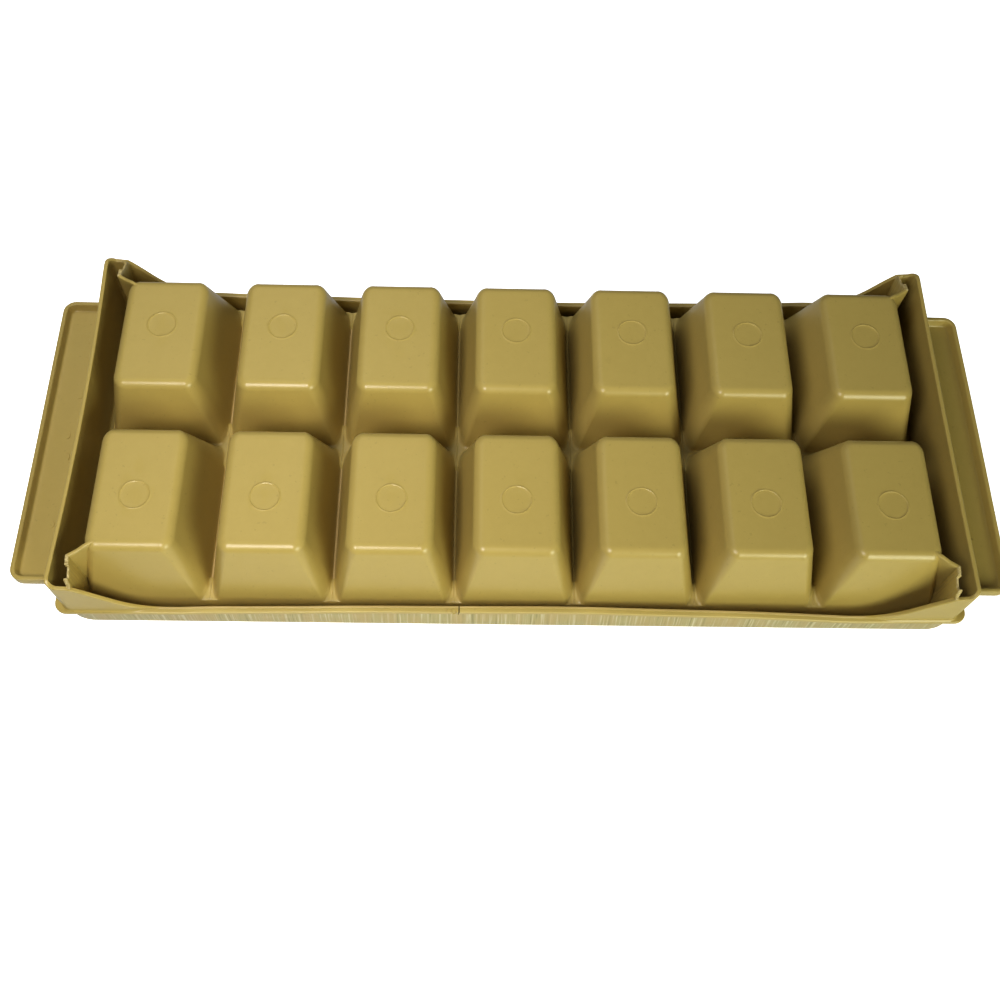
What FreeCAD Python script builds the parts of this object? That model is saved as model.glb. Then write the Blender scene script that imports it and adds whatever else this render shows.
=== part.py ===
"""Two-row plastic ice cube tray, lying upside down with its pocket bottoms up.

The tray is one thin-walled moulding. Each node is a region of that moulding, and the
regions meet face to face. Planes square to the long axis divide the whole into columns,
which can turn a little about that axis when the tray is twisted to let the cubes go.

Millimetres, +Z up, +X along the tray, the front side at -Y. The origin is on the
surface that the rim lies on, under the middle of the tray.
"""
import FreeCAD, Part
import math
import os
from FreeCAD import Vector

# Pocket field
COLUMNS = 7                 # columns of two pockets; an odd number, so that one is in the middle
PITCH = 37.0                # from one column to the next
WALL = 1.5                  # thickness of the pockets, the dividers and the inner rim wall
POCKET_DEPTH = 25.0         # outside of the dividers to outside of a pocket bottom
GROOVE = 0.6                # gap between the outsides of neighbouring columns at the divider
ROW_GAP = 1.6               # the same gap between the two rows
MOUTH_LENGTH = 52.4         # outside length of a pocket across the tray, at the divider
BOTTOM_LENGTH = 39.1        # outside length of a pocket bottom
BOTTOM_WIDTH = 24.8         # outside width of a pocket bottom
INNER_SETBACK = 6.9         # how far the wall towards the other row leans back
END_MARGIN = 0.9            # how much further out the end pockets reach
MOUTH_CORNER = 7.0          # upright corner radius at the divider
BOTTOM_CORNER = 4.0         # upright corner radius at the pocket bottom
BOTTOM_ROUND = 2.4          # rounding of the bottom's edge

# Rim: an inner wall, a fold that lies on the table, and an outer band with a bead
RIM_DROP = 6.6              # outside of the dividers down to the rim's edge
FOLD = 1.5                  # thickness of the fold
CHANNEL = 3.5               # gap between the pocket field and the band, at the divider
SKIRT = 1.3                 # thickness of the band, the legs and the end walls
BAND_CORNER = 7.5           # outside corner radius of the band
BEAD_RISE = 2.8             # outside of the dividers up to the bead's top, the rim's free edge
BEAD_HEIGHT = 1.6
BEAD_REACH = 0.7            # how far the bead stands out from the band along the sides
BEAD_END_REACH = 2.7        # the same at the ends, where the handles' roots rest on it
BEAD_CORNER = 4.2           # outside corner radius of the bead

# Legs and end walls above the bead, measured down from the pocket bottoms
END_WALL_DROP = 3.1         # to the end wall's free edge
TIP_DROP = 5.0              # to the foot where it leaves the corner
HEEL_DROP = 5.4             # to the foot where the gusset meets it
FOOT_LENGTH = 6.7           # from the end wall's outside to the heel
LEG_ANGLE = 46.0            # slope of the leg's edge below the heel, in degrees
LEG_ROUND = 21.0            # radius that leads this slope into the bead
WALL_CORNER = 3.0           # outside corner radius of the upper walls

# Gussets across the corners of the channel, measured down from the pocket bottoms
GUSSET = 1.3                # thickness
GUSSET_DROP = 0.7           # to its top edge at the pocket and at its bend
GUSSET_LEG_DROP = 2.2       # to its top edge at the leg
GUSSET_RUN_X = 5.4          # from the pocket's corner out to the bend, along the tray
GUSSET_RUN_Y = 3.4          # the same across the tray
GUSSET_SHOULDER = 2.7       # from the bend to the notch
GUSSET_TOOTH = 1.2          # from the notch to the leg
NOTCH_DEPTH = 1.2

# Handles
HANDLE_REACH = 16.4         # from the end wall's outside to the handle's edge
HANDLE_WIDTH = 100.6
HANDLE_RISE = 1.1           # from the bead's top to the handle's underside
HANDLE_PANEL = 1.3          # thickness of the panel
HANDLE_EDGE_HEIGHT = 2.3    # raised edge above the panel
HANDLE_EDGE = 2.5           # thickness of the raised edge
HANDLE_CORNER = 4.0         # outside corner radius

# Places that follow from the sizes above
DIVIDER_TOP = RIM_DROP
DIVIDER_UNDER = DIVIDER_TOP - WALL
POCKET_TOP = DIVIDER_TOP + POCKET_DEPTH
BEAD_TOP = DIVIDER_TOP + BEAD_RISE
END_WALL_TOP = POCKET_TOP - END_WALL_DROP
END_COLUMN = (COLUMNS - 1) // 2
FIELD_HALF_LENGTH = (END_COLUMN + 0.5) * PITCH - GROOVE / 2 + END_MARGIN
FIELD_HALF_WIDTH = ROW_GAP / 2 + MOUTH_LENGTH
BAND_HALF_LENGTH = FIELD_HALF_LENGTH + CHANNEL + SKIRT
BAND_HALF_WIDTH = FIELD_HALF_WIDTH + CHANNEL + SKIRT
CORNER_START = BAND_HALF_LENGTH - BAND_CORNER
HEEL_X = BAND_HALF_LENGTH - FOOT_LENGTH
LEG_END = BAND_HALF_LENGTH - WALL_CORNER
BEYOND = 2 * BAND_HALF_LENGTH   # outside the tray, for the solids that cut it
TOUCH = 0.01                # two places nearer than this count as one

UP = Vector(0, 0, 1)


def box(x0, x1, y0, y1, z0, z1):
    return Part.makeBox(x1 - x0, y1 - y0, z1 - z0, Vector(x0, y0, z0))


def rounded_rectangle(x0, x1, y0, y1, radius, z):
    """Closed wire at height z, with equal corner radii."""
    centres = (
        (x1 - radius, y1 - radius),
        (x0 + radius, y1 - radius),
        (x0 + radius, y0 + radius),
        (x1 - radius, y0 + radius),
    )
    arcs = []
    for quarter, (cx, cy) in enumerate(centres):
        start = 90 * quarter
        arcs.append(Part.makeCircle(radius, Vector(cx, cy, z), UP, start, start + 90))
    edges = []
    for arc, following in zip(arcs, arcs[1:] + arcs[:1]):
        edges.append(arc)
        edges.append(Part.makeLine(arc.Vertexes[-1].Point, following.Vertexes[0].Point))
    return Part.Wire(edges)


def prism(half_x, half_y, radius, z0, z1):
    """Upright block with rounded corners, centred on the origin."""
    outline = rounded_rectangle(-half_x, half_x, -half_y, half_y, radius, z0)
    return Part.Face(outline).extrude(Vector(0, 0, z1 - z0))


def band_prism(offset, radius, z0, z1):
    """Block with the band's outline, moved out by offset, and a corner radius of its own."""
    return prism(BAND_HALF_LENGTH + offset, BAND_HALF_WIDTH + offset, radius + offset, z0, z1)


def mirrored(shape):
    """The same piece on the other side of the tray."""
    return shape.mirror(Vector(0, 0, 0), Vector(0, 1, 0))


def other_end(shape):
    return shape.mirror(Vector(0, 0, 0), Vector(1, 0, 0))


# Leaning walls. Each is a sign and its two distances from the origin, at the divider
# and at the pocket bottom: the wall stands at sign times the distance.

def wall_place(at_divider, at_bottom, z, inset):
    """Distance of a leaning wall at height z, moved in by inset square to the wall."""
    lean = (at_bottom - at_divider) / POCKET_DEPTH
    return at_divider + lean * (z - DIVIDER_TOP) - inset * math.hypot(1.0, lean)


def corner_radius(z, inset):
    change = (BOTTOM_CORNER - MOUTH_CORNER) / POCKET_DEPTH
    return MOUTH_CORNER + change * (z - DIVIDER_TOP) - inset


def section(walls, z, inset):
    """Outline at height z between four leaning walls."""
    places = [sign * wall_place(at_divider, at_bottom, z, inset)
              for sign, at_divider, at_bottom in walls]
    return rounded_rectangle(*places, corner_radius(z, inset), z)


def tapered(walls, z0, z1, inset=0.0):
    return Part.makeLoft([section(walls, z0, inset), section(walls, z1, inset)], True, True)


def pocket_walls(column):
    """Left, right, inner and outer wall of a rear pocket."""
    centre = column * PITCH
    mouth = (PITCH - GROOVE) / 2
    left_margin = END_MARGIN if column == -END_COLUMN else 0.0
    right_margin = END_MARGIN if column == END_COLUMN else 0.0
    bottom_centre = centre + right_margin - left_margin
    inner = ROW_GAP / 2
    inner_bottom = inner + INNER_SETBACK
    return (
        (-1, mouth + left_margin - centre, BOTTOM_WIDTH / 2 - bottom_centre),
        (1, mouth + right_margin + centre, BOTTOM_WIDTH / 2 + bottom_centre),
        (-1, -inner, -inner_bottom),
        (1, FIELD_HALF_WIDTH, inner_bottom + BOTTOM_LENGTH),
    )


def field_walls():
    """Outer walls of the whole pocket field, in line with those of the outer pockets."""
    bottom_x = END_COLUMN * PITCH + END_MARGIN + BOTTOM_WIDTH / 2
    bottom_y = ROW_GAP / 2 + INNER_SETBACK + BOTTOM_LENGTH
    return (
        (-1, FIELD_HALF_LENGTH, bottom_x),
        (1, FIELD_HALF_LENGTH, bottom_x),
        (-1, FIELD_HALF_WIDTH, bottom_y),
        (1, FIELD_HALF_WIDTH, bottom_y),
    )


# Pockets and dividers

def round_top(shape, radius):
    """Rounds the edges that bound the highest face."""
    just_below = shape.BoundBox.ZMax - TOUCH
    edges = [edge for edge in shape.Edges if edge.BoundBox.ZMin > just_below]
    return shape.makeFillet(radius, edges)


def pocket_body(column):
    """Outside of a rear pocket, from the divider up."""
    return round_top(tapered(pocket_walls(column), DIVIDER_TOP, POCKET_TOP), BOTTOM_ROUND)


def cavity(column):
    """Hollow of a rear pocket, which starts under the divider."""
    hollow = tapered(pocket_walls(column), DIVIDER_UNDER, POCKET_TOP - WALL, WALL)
    return round_top(hollow, BOTTOM_ROUND - WALL)


def divider_plate():
    """The plate between and around all pocket mouths."""
    plate = tapered(field_walls(), DIVIDER_UNDER, DIVIDER_TOP)
    for column in range(-END_COLUMN, END_COLUMN + 1):
        hollow = cavity(column)
        plate = plate.cut(hollow).cut(mirrored(hollow))
    return plate


# Rim, legs and end walls

def rim_ring():
    """Inner wall, fold, band and bead, all the way round."""
    band = band_prism(0.0, BAND_CORNER, 0.0, BEAD_TOP)
    bead = prism(BAND_HALF_LENGTH + BEAD_END_REACH, BAND_HALF_WIDTH + BEAD_REACH, BEAD_CORNER,
                 BEAD_TOP - BEAD_HEIGHT, BEAD_TOP)
    channel = band_prism(-SKIRT, BAND_CORNER, FOLD, BEAD_TOP)
    inner_wall = tapered(field_walls(), 0.0, DIVIDER_UNDER)
    basin = tapered(field_walls(), -WALL, DIVIDER_UNDER, WALL)
    return band.fuse(bead).cut(channel).fuse(inner_wall).cut(basin).removeSplitter()


def upper_wall():
    """Wall that stands on the bead, at the end walls' height all the way round."""
    outer = band_prism(0.0, WALL_CORNER, BEAD_TOP, END_WALL_TOP)
    return outer.cut(band_prism(-SKIRT, WALL_CORNER, BEAD_TOP, END_WALL_TOP))


def leg_profile():
    """What the free edge leaves of the right-hand leg and corner, seen from the front."""
    angle = math.radians(LEG_ANGLE)
    heel = Vector(HEEL_X, 0, POCKET_TOP - HEEL_DROP)
    slope_end_z = BEAD_TOP + LEG_ROUND * (1 - math.cos(angle))
    slope_end = Vector(HEEL_X - (heel.z - slope_end_z) / math.tan(angle), 0, slope_end_z)
    start = Vector(slope_end.x - LEG_ROUND * math.sin(angle), 0, BEAD_TOP)
    middle = Vector(start.x + LEG_ROUND * math.sin(angle / 2), 0,
                    BEAD_TOP + LEG_ROUND * (1 - math.cos(angle / 2)))
    tip = Vector(LEG_END, 0, POCKET_TOP - TIP_DROP)
    crown = Vector(BAND_HALF_LENGTH, 0, END_WALL_TOP)
    base = Vector(BAND_HALF_LENGTH, 0, BEAD_TOP)
    outline = [slope_end, heel, tip, crown, base, start]
    edges = [Part.Arc(start, middle, slope_end).toShape()]
    edges += [Part.makeLine(first, second) for first, second in zip(outline, outline[1:])]
    face = Part.Face(Part.Wire(edges))
    face.translate(Vector(0, -BEYOND, 0))
    return face.extrude(Vector(0, 2 * BEYOND, 0))


def end_wall():
    """Right-hand end wall, with the corners at both sides."""
    wall = upper_wall()
    face = wall.common(box(BAND_HALF_LENGTH - SKIRT, BEYOND, -BEYOND, BEYOND, 0, POCKET_TOP))
    ends = box(LEG_END, BEYOND, -BEYOND, BEYOND, 0, POCKET_TOP)
    corners = wall.common(leg_profile()).common(ends)
    return face.fuse(corners).removeSplitter()


def leg():
    """Rear right leg."""
    quarter = box(0, LEG_END, 0, BEYOND, 0, POCKET_TOP)
    return upper_wall().common(leg_profile()).common(quarter)


# Gussets and handles

def upright_plate(points, thickness):
    """Plate around an outline whose points all lie in one upright plane."""
    face = Part.Face(Part.makePolygon(points + points[:1]))
    normal = face.normalAt(0, 0)
    plate = face.extrude(normal * thickness)
    plate.translate(normal * (-thickness / 2))
    return plate


def gusset():
    """Web from the rear right pocket's corner to a bend, and from there to the leg."""
    _, right_wall, _, outer_wall = pocket_walls(END_COLUMN)
    corner_slack = BOTTOM_CORNER * (1 - math.sqrt(0.5))
    start_x = right_wall[2] - corner_slack
    start_y = outer_wall[2] - corner_slack
    bend_x = start_x + GUSSET_RUN_X
    bend_y = start_y + GUSSET_RUN_Y
    leg_y = BAND_HALF_WIDTH - SKIRT
    top = POCKET_TOP - GUSSET_DROP

    def on_straight(y, below_edge=0.0):
        share = (y - bend_y) / (leg_y - bend_y)
        edge = top + share * (GUSSET_DROP - GUSSET_LEG_DROP)
        return Vector(bend_x + share * (HEEL_X - bend_x), y, edge - below_edge)

    slanted = upright_plate([
        Vector(start_x, start_y, top),
        Vector(bend_x, bend_y, top),
        Vector(bend_x, bend_y, FOLD),
        Vector(start_x, start_y, FOLD),
    ], GUSSET)
    notch_start = bend_y + GUSSET_SHOULDER
    notch_end = leg_y - GUSSET_TOOTH
    straight = upright_plate([
        on_straight(bend_y),
        on_straight(notch_start),
        on_straight(notch_start, NOTCH_DEPTH),
        on_straight(notch_end, NOTCH_DEPTH),
        on_straight(notch_end),
        on_straight(leg_y),
        Vector(HEEL_X, leg_y, FOLD),
        Vector(bend_x, bend_y, FOLD),
    ], GUSSET)
    knee = Part.makeCylinder(GUSSET / 2, top - FOLD, Vector(bend_x, bend_y, FOLD))
    web = slanted.fuse(straight).fuse(knee).common(band_prism(-SKIRT, BAND_CORNER, 0, POCKET_TOP))
    web = web.cut(pocket_body(END_COLUMN)).cut(tapered(field_walls(), 0.0, DIVIDER_TOP))
    return max(web.removeSplitter().Solids, key=lambda solid: solid.Volume)


def handle_block(edge, z0, z1):
    """Block with the right-hand handle's outline, moved in by edge on its three free sides."""
    outer_x = BAND_HALF_LENGTH + HANDLE_REACH - edge
    half_width = HANDLE_WIDTH / 2 - edge
    block = box(BAND_HALF_LENGTH, outer_x, -half_width, half_width, z0, z1)
    outer_uprights = [line for line in block.Edges
                      if line.BoundBox.XMin > outer_x - TOUCH and line.BoundBox.YLength < TOUCH]
    return block.makeFillet(HANDLE_CORNER - edge, outer_uprights)


def handle():
    """Right-hand handle: a panel with a raised edge on three sides, and a root on the bead."""
    under = BEAD_TOP + HANDLE_RISE
    panel_top = under + HANDLE_PANEL
    edge_top = panel_top + HANDLE_EDGE_HEIGHT
    root = box(BAND_HALF_LENGTH, BAND_HALF_LENGTH + BEAD_END_REACH,
               -HANDLE_WIDTH / 2, HANDLE_WIDTH / 2, BEAD_TOP, under)
    panel = handle_block(0.0, under, edge_top).cut(handle_block(HANDLE_EDGE, panel_top, edge_top))
    return panel.fuse(root).removeSplitter()


# Output

def write(name, shape):
    shape.exportStep("parts/%s.step" % name)


def write_columns():
    plate = divider_plate()
    rim = rim_ring()
    for column in range(-END_COLUMN, END_COLUMN + 1):
        number = column + END_COLUMN + 1
        left = -BEYOND if column == -END_COLUMN else (column - 0.5) * PITCH
        right = BEYOND if column == END_COLUMN else (column + 0.5) * PITCH
        pocket = pocket_body(column).cut(cavity(column))
        side = rim.common(box(max(left, -CORNER_START), min(right, CORNER_START),
                              0, BEYOND, 0, BEAD_TOP))
        write("divider_%d" % number, plate.common(box(left, right, -BEYOND, BEYOND, 0, POCKET_TOP)))
        write("pocket_rear_%d" % number, pocket)
        write("pocket_front_%d" % number, mirrored(pocket))
        write("rim_rear_%d" % number, side)
        write("rim_front_%d" % number, mirrored(side))


def write_ends():
    rear_leg = leg()
    rear_gusset = gusset()
    right_end = {
        "end_rim": rim_ring().common(box(CORNER_START, BEYOND, -BEYOND, BEYOND, 0, BEAD_TOP)),
        "end_wall": end_wall(),
        "handle": handle(),
        "leg_rear": rear_leg,
        "leg_front": mirrored(rear_leg),
        "gusset_rear": rear_gusset,
        "gusset_front": mirrored(rear_gusset),
    }
    for name, shape in right_end.items():
        write(name + "_right", shape)
        write(name + "_left", other_end(shape))


os.makedirs("parts", exist_ok=True)
write_columns()
write_ends()
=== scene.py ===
"""Ice cube tray, one thin moulding lying upside down: its shape, plastic, light and camera."""
import math

import bmesh
import bpy
import numpy as np
from mathutils import Matrix, Vector, noise


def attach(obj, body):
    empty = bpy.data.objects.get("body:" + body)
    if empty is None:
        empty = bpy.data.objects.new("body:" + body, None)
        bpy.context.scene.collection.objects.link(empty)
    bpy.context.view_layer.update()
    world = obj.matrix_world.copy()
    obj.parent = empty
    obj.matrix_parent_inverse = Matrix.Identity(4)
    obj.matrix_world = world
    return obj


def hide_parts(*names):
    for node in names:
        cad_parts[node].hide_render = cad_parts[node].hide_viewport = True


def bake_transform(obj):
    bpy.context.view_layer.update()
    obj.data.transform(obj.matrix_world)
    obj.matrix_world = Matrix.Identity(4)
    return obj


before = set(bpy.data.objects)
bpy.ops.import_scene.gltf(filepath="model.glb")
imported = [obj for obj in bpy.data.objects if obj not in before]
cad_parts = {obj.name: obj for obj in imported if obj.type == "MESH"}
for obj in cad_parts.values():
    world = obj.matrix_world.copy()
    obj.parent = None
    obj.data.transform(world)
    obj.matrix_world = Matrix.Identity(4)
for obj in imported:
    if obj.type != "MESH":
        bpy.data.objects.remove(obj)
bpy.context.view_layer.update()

# Sizes in millimetres, as in the part; meshes are scaled to metres when they are made
MM = 0.001
COLUMNS = 7
PITCH = 37.0
END_COLUMN = (COLUMNS - 1) / 2 * PITCH
CUTS = [column * PITCH for column in range(-2, 3)]  # planes between the shell's sections
WALL = 1.5
POCKET_DEPTH = 25.0
DIVIDER_TOP = 6.6
POCKET_TOP = DIVIDER_TOP + POCKET_DEPTH
ROW_GAP = 1.6
MOUTH_HALF_WIDTH = 18.2
MOUTH_LENGTH = 52.4
BOTTOM_HALF_WIDTH = 12.4
BOTTOM_LENGTH = 39.1
INNER_SETBACK = 6.9
END_MARGIN = 0.9
INNER_WALL = (-ROW_GAP / 2, -ROW_GAP / 2 - INNER_SETBACK)  # at the divider, at the bottom
OUTER_WALL = (ROW_GAP / 2 + MOUTH_LENGTH, ROW_GAP / 2 + INNER_SETBACK + BOTTOM_LENGTH)
BOTTOM_MIDDLE = (OUTER_WALL[1] - INNER_WALL[1]) / 2
MOUTH_CORNER = (2.7, 7.6)  # upright corners are long across the tray, short along it
BOTTOM_CORNER = (3.5, 4.3)
BOTTOM_ROUND = 3.1
FOOT_ROUND = 1.3  # where a pocket's wall meets the divider
INNER_FOOT_ROUND = 1.0
MARK_SHIFT = 2.6  # of the ring mark on each pocket bottom, towards the outer wall
MARK_RELIEF = 0.14
MARK_RINGS = ((1.6, -0.4), (3.4, -0.4), (4.15, -0.4), (4.3, 0.2), (4.42, 1.0), (4.58, 1.0),
              (4.75, 0.0), (5.2, 0.0))  # radius, and height as a share of the relief
RIDGE = 0.06  # fine raised line where two pockets' feet meet
RAMP = 1.3  # rise of the webs that close the grooves' ends

# The rim; a ring is half its length, half its width, and its corners' two radii
FIELD_EDGE = (130.1, 53.2)  # outer walls of the pocket field at the dividers
FIELD_LEAN = (0.232, 0.256)
LEVEL_WALL = WALL * 1.03  # a leaning wall's thickness, measured level
FOLD = 1.5
WALLS_OUT = (134.9, 58.0)
WALL_CORNER = 3.0
SKIRT = 1.3
THIN_SKIRT = 0.75
LEDGE = 9.4
BEAD = (137.9, 58.7, 3.5, 3.5)
BEAD_PROFILE = ((LEDGE - 0.03, 0.3), (LEDGE - 0.12, 0.09), (LEDGE - 0.33, 0.0), (8.05, 0.0),
                (7.9, 0.07), (7.83, 0.25))  # height, inset
BAND = (137.2, 57.8, 9.2, 7.0)
BAND_FOOT_ROUND = 0.6
BAND_PROFILE = ((7.8, -0.15), *((z, 0.0) for z in (7.65, 6.3, 4.9, 3.5, 2.1, BAND_FOOT_ROUND)))
END_WALL_TOP = 28.5
HEEL = (128.2, 26.2)
TIP = (131.9, 26.6)
LEG_ANGLE = math.radians(46.0)
LEG_ROUND = 21.0
LEG_FIELD_X = END_COLUMN + END_MARGIN / 2  # middle station of an end pocket's outer wall
SIDE_FROM, END_FROM = 55.4, 132.3  # the outer walls lie beyond these

# Stations round a pocket
ALONG_SHORT = 6  # on half a short side
ALONG_LEG = 14  # on the half short side beside a leg, where the free edge bends
ALONG_LONG = 12
ROUND_CORNER = 12


def smooth(low, high, value):
    """0 at low and 1 at high, smooth between them; low may be the greater."""
    share = np.clip((value - low) / (high - low), 0.0, 1.0)
    return share * share * (3 - 2 * share)


def wall_at(at_divider, at_bottom, z, inset):
    """Distance of a leaning wall from the origin at height z, moved in by inset."""
    lean = (at_bottom - at_divider) / POCKET_DEPTH
    return at_divider + lean * (z - DIVIDER_TOP) - inset * math.hypot(1.0, lean)


def corner_size(z, inset):
    """Extent of an upright corner along and across the tray at height z."""
    share = (z - DIVIDER_TOP) / POCKET_DEPTH
    return [mouth + (bottom - mouth) * share - inset
            for mouth, bottom in zip(MOUTH_CORNER, BOTTOM_CORNER)]


def leg_spacing():
    """Shares along the half short side beside a leg: one station falls on the heel."""
    heel_share = (HEEL[0] - LEG_FIELD_X) / (TIP[0] - LEG_FIELD_X)
    before = np.linspace(0, heel_share, ALONG_LEG - 1)
    return np.concatenate([before, [(1 + heel_share) / 2, 1.0]])


def add_object(name, data):
    thing = bpy.data.objects.new(name, data)
    bpy.context.scene.collection.objects.link(thing)
    return thing


def mesh_object(name, points, faces, *plastics):
    mesh = bpy.data.meshes.new(name)
    mesh.from_pydata([tuple(point) for point in np.asarray(points) * MM], [], faces)
    mesh.validate()
    for plastic in plastics:
        mesh.materials.append(plastic)
    return add_object(name, mesh)


def quads(first, rows, count, closed=True, upward=True):
    """Quads between rows of points that are numbered from first on."""
    faces = []
    for row in range(rows - 1):
        a = first + row * count
        b = a + count
        for j in range(count if closed else count - 1):
            k = (j + 1) % count
            faces.append((a + j, b + j, b + k, a + k) if upward else (a + j, a + k, b + k, b + j))
    return faces


class Stations:
    """Stations round a pocket, counter-clockwise from the middle of its outer wall.

    u and v are shares across the rectangle between the corner centres, nx and ny the
    outward direction, and share runs round each corner from the x side to the y side.
    """

    def __init__(self, beside_leg):
        even = np.linspace(0, 1, ALONG_SHORT + 1)
        long_side = np.linspace(0, 1, ALONG_LONG + 1)
        right_half = leg_spacing() if beside_leg else even
        rows = []

        def short_side(us, v, ny):
            rows.extend((u, v, 0, ny, 0.0, 0) for u in us[:-1])

        def whole_long_side(u, vs, nx):
            rows.extend((u, v, nx, 0, 0.0, 0) for v in vs[:-1])

        def corner(u, v, start, number):
            for share in np.linspace(0, 1, ROUND_CORNER + 1)[:-1]:
                angle = (start + share) * (math.pi / 2)
                rows.append((u, v, math.cos(angle), math.sin(angle), share, number))

        short_side(0.5 - even / 2, 1, 1)
        corner(0, 1, 1, 2)
        whole_long_side(0, 1 - long_side, -1)
        corner(0, 0, 2, 3)
        short_side(even / 2, 0, -1)
        short_side(0.5 + even / 2, 0, -1)
        corner(1, 0, 3, 4)
        whole_long_side(1, long_side, 1)
        corner(1, 1, 0, 1)
        short_side(0.5 + right_half[::-1] / 2, 1, 1)
        self.u, self.v, self.nx, self.ny, self.share, number = np.array(rows).T
        self.corner = number.astype(int)
        self.count = len(rows)
        self.nx[abs(self.nx) < 1e-9] = 0
        self.ny[abs(self.ny) < 1e-9] = 0


class Pocket:
    """One side of a rear pocket's shell, as rings of points from the bottom's middle outwards."""

    def __init__(self, at_end, inset, top, base, bottom_round, foot_round):
        margin = END_MARGIN if at_end else 0.0
        self.at_end, self.inset, self.top, self.base = at_end, inset, top, base
        self.bottom_round, self.foot_round = bottom_round, foot_round
        self.right = (MOUTH_HALF_WIDTH + margin, BOTTOM_HALF_WIDTH + margin)
        self.left = (MOUTH_HALF_WIDTH, BOTTOM_HALF_WIDTH - margin)
        self.at = s = Stations(at_end)
        self.limits = (-PITCH / 2, wall_at(*self.right, base, inset) if at_end else PITCH / 2,
                       0.0, wall_at(*OUTER_WALL, base, inset))
        self.runs_on = (s.ny == 1) | (at_end & ((s.nx == 1) | (s.corner == 1)))
        self.from_x = np.where(s.corner % 2 == 1, s.share, 1 - s.share)
        ramp = (s.nx != 0) & (s.ny != 0) & (self.from_x > 0) & ~self.runs_on
        self.foot_z = base + RAMP * np.where(ramp, np.clip(1 - 2 * self.from_x, 0, 1), 0.0)
        self.lean, self.out = self.facing(base)
        self.foot = self.outline(self.foot_z)
        self.radius = self.foot_radius()

    def facing(self, z):
        """Lean of the wall at each station near height z, and its outward direction in plan."""
        s = self.at
        size_x, size_y = corner_size(z, self.inset)
        out = np.stack([s.nx / size_x, s.ny / size_y], axis=1)
        out /= np.linalg.norm(out, axis=1)[:, None]
        flat = np.zeros(s.count)
        step = self.outline(flat + z - 1.0) - self.outline(flat + z)
        return np.arctan((step[:, :2] * out).sum(axis=1)), out

    def outline(self, z):
        """Points on the walls at height z, which may differ from station to station."""
        s, inset = self.at, self.inset
        size_x, size_y = corner_size(z, inset)
        x0, x1 = -wall_at(*self.left, z, inset) + size_x, wall_at(*self.right, z, inset) - size_x
        y0, y1 = -wall_at(*INNER_WALL, z, inset) + size_y, wall_at(*OUTER_WALL, z, inset) - size_y
        return np.stack([x0 + s.u * (x1 - x0) + size_x * s.nx,
                         y0 + s.v * (y1 - y0) + size_y * s.ny, z + 0 * s.u], axis=1)

    @staticmethod
    def moved(points, distance, out, z):
        """Points moved out by a distance along their directions, to height z."""
        (x, y, _), (out_x, out_y) = points.T, out.T
        return np.stack([x + distance * out_x, y + distance * out_y, z + 0 * x], axis=1)

    def rings(self):
        return self.bottom_rings() + self.wall_rings() + self.foot_rings()

    def bottom_rings(self):
        rim = self.outline(self.top + np.zeros(self.at.count))
        lean, out = self.facing(self.top)
        setback = self.bottom_round * (1 - np.sin(lean)) / np.cos(lean)
        flat_edge = self.moved(rim, -setback, out, self.top)
        middle_x = (self.right[1] - self.left[1]) / 2
        centre = np.array([middle_x, BOTTOM_MIDDLE + MARK_SHIFT, self.top])
        reach = flat_edge - centre
        length = np.linalg.norm(reach, axis=1)[:, None]
        relief = MARK_RELIEF if self.inset == 0 else 0.0
        rings = [centre + reach / length * radius + [0, 0, lift * relief]
                 for radius, lift in MARK_RINGS]
        rings += [rings[-1] + (flat_edge - rings[-1]) * share for share in (0.25, 0.5, 0.75, 0.93)]
        for share in np.linspace(0, 1, 9):
            angle = math.pi / 2 + (lean - math.pi / 2) * share
            rings.append(self.moved(rim, self.bottom_round * np.cos(angle) - setback, out,
                                    self.top - self.bottom_round * (1 - np.sin(angle))))
        return rings

    def foot_radius(self):
        """Radius at the foot of the wall, limited by the divider's width there."""
        s, (x0, x1, y0, y1) = self.at, self.limits
        with np.errstate(divide="ignore", invalid="ignore"):
            along_x = (np.where(s.nx > 0, x1, x0) - self.foot[:, 0]) / self.out[:, 0]
            along_y = (np.where(s.ny > 0, y1, y0) - self.foot[:, 1]) / self.out[:, 1]
        room = np.minimum(np.where(s.nx == 0, 1e3, along_x), np.where(s.ny == 0, 1e3, along_y))
        room = np.where(self.runs_on, 0.0, room)
        fits = 0.8 * room * np.cos(self.lean) / (1 - np.sin(self.lean))
        return np.maximum(np.minimum(self.foot_round, fits), 0.05)

    def wall_rings(self):
        lean, _ = self.facing(self.top)
        high = self.top - self.bottom_round * (1 - np.sin(lean))
        low = self.foot_z + self.radius * (1 - np.sin(self.lean))
        return [self.outline(high + (low - high) * share) for share in np.linspace(0, 1, 11)[1:]]

    def foot_rings(self):
        reach = self.radius * (1 - np.sin(self.lean)) / np.cos(self.lean)
        rings = []
        for share in (0.25, 0.5, 0.75, 1.0):
            angle = math.pi + self.lean + (math.pi / 2 - self.lean) * share
            z = self.foot_z + self.radius + self.radius * np.sin(angle)
            distance = np.where(self.runs_on, -np.tan(self.lean) * (z - self.base),
                                reach + self.radius * np.cos(angle))
            rings.append(self.moved(self.foot, distance, self.out, z))
        return rings + self.divider_rings(rings[-1])

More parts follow.
